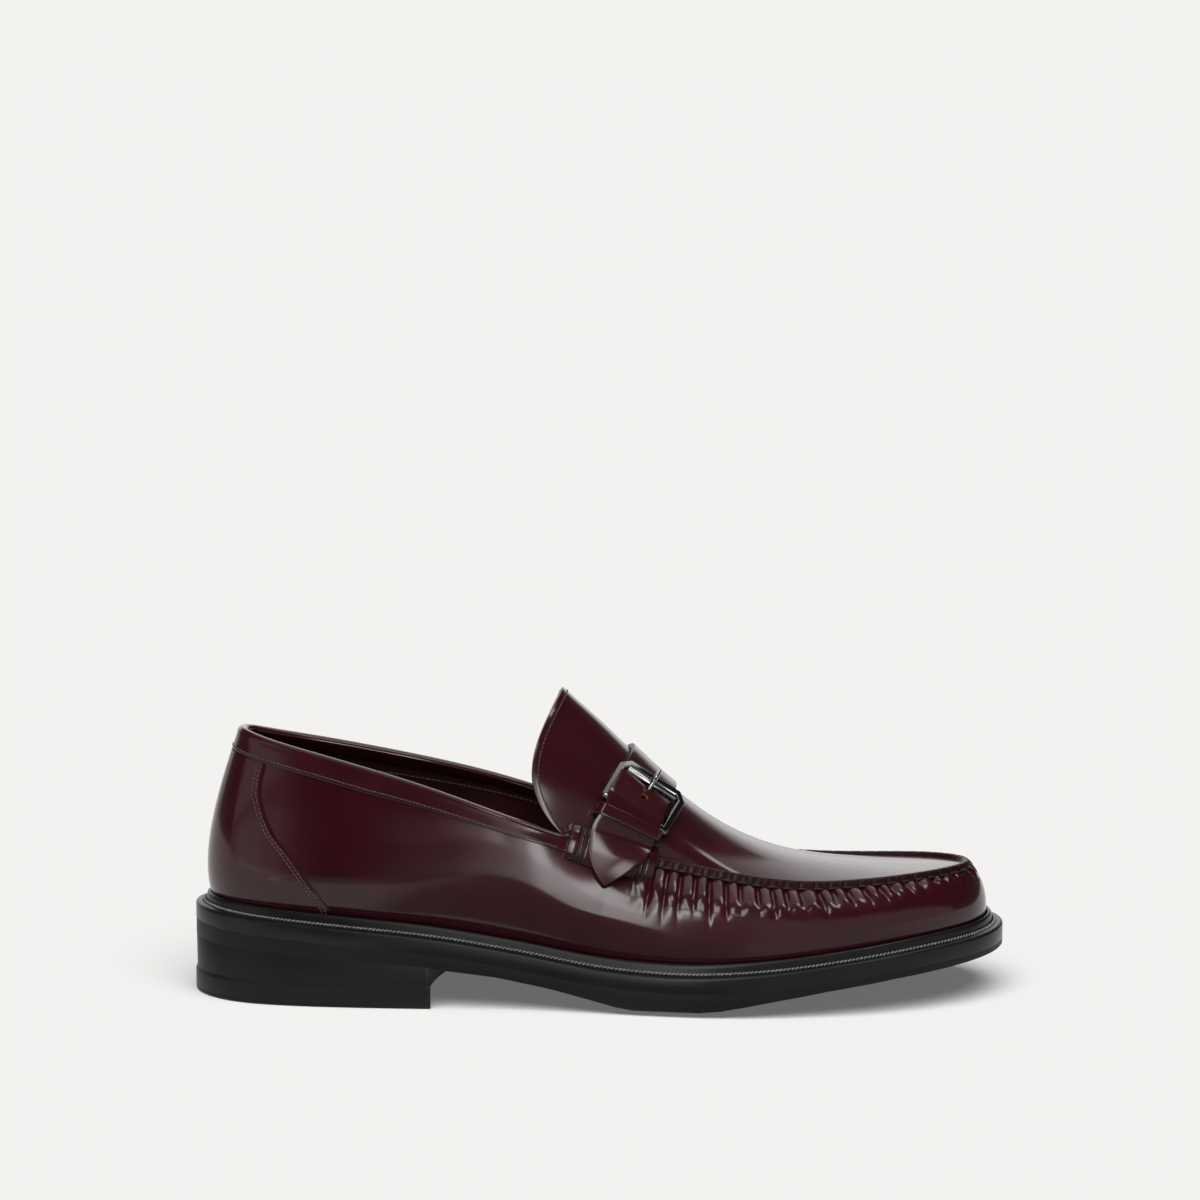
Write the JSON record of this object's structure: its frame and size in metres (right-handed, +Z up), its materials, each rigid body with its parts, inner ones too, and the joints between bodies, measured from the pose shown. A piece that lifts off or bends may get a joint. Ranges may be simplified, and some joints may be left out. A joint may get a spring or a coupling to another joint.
{
  "type": "buckle loafer shoe",
  "caption": "Right low-heeled leather loafer with a moccasin apron, a tongue that stands up and a buckled strap over the instep, on a welted rubber sole.",
  "frame": {"origin": "middle of the shoe's footprint, on the plane that the heel and the forefoot stand on", "axes": "+X along the foot to the toe, +Y to the inner (medial) side of the right foot, +Z up"},
  "size_m": [0.3016, 0.1006, 0.1136],
  "materials": {
    "burgundy_leather": "high shine, hand polished",
    "strap_leather": "high shine, painted edges",
    "gunmetal": "dark polished plating",
    "insole_board": "matt lining leather",
    "welt_rubber": "satin",
    "sole_rubber": "satin",
    "heel_rubber": "satin"
  },
  "bodies": {
    "root": {"upper": "burgundy_leather", "apron_tongue": "burgundy_leather", "buckle_strap": "strap_leather", "saddle_lateral": "strap_leather", "saddle_medial": "strap_leather", "keeper": "strap_leather", "buckle_frame": "gunmetal", "buckle_roller": "gunmetal", "buckle_prong": "gunmetal", "insole": "insole_board", "welt": "welt_rubber", "outsole": "sole_rubber", "heel_stack": "heel_rubber", "top_piece": "heel_rubber"}
  },
  "joints": []
}
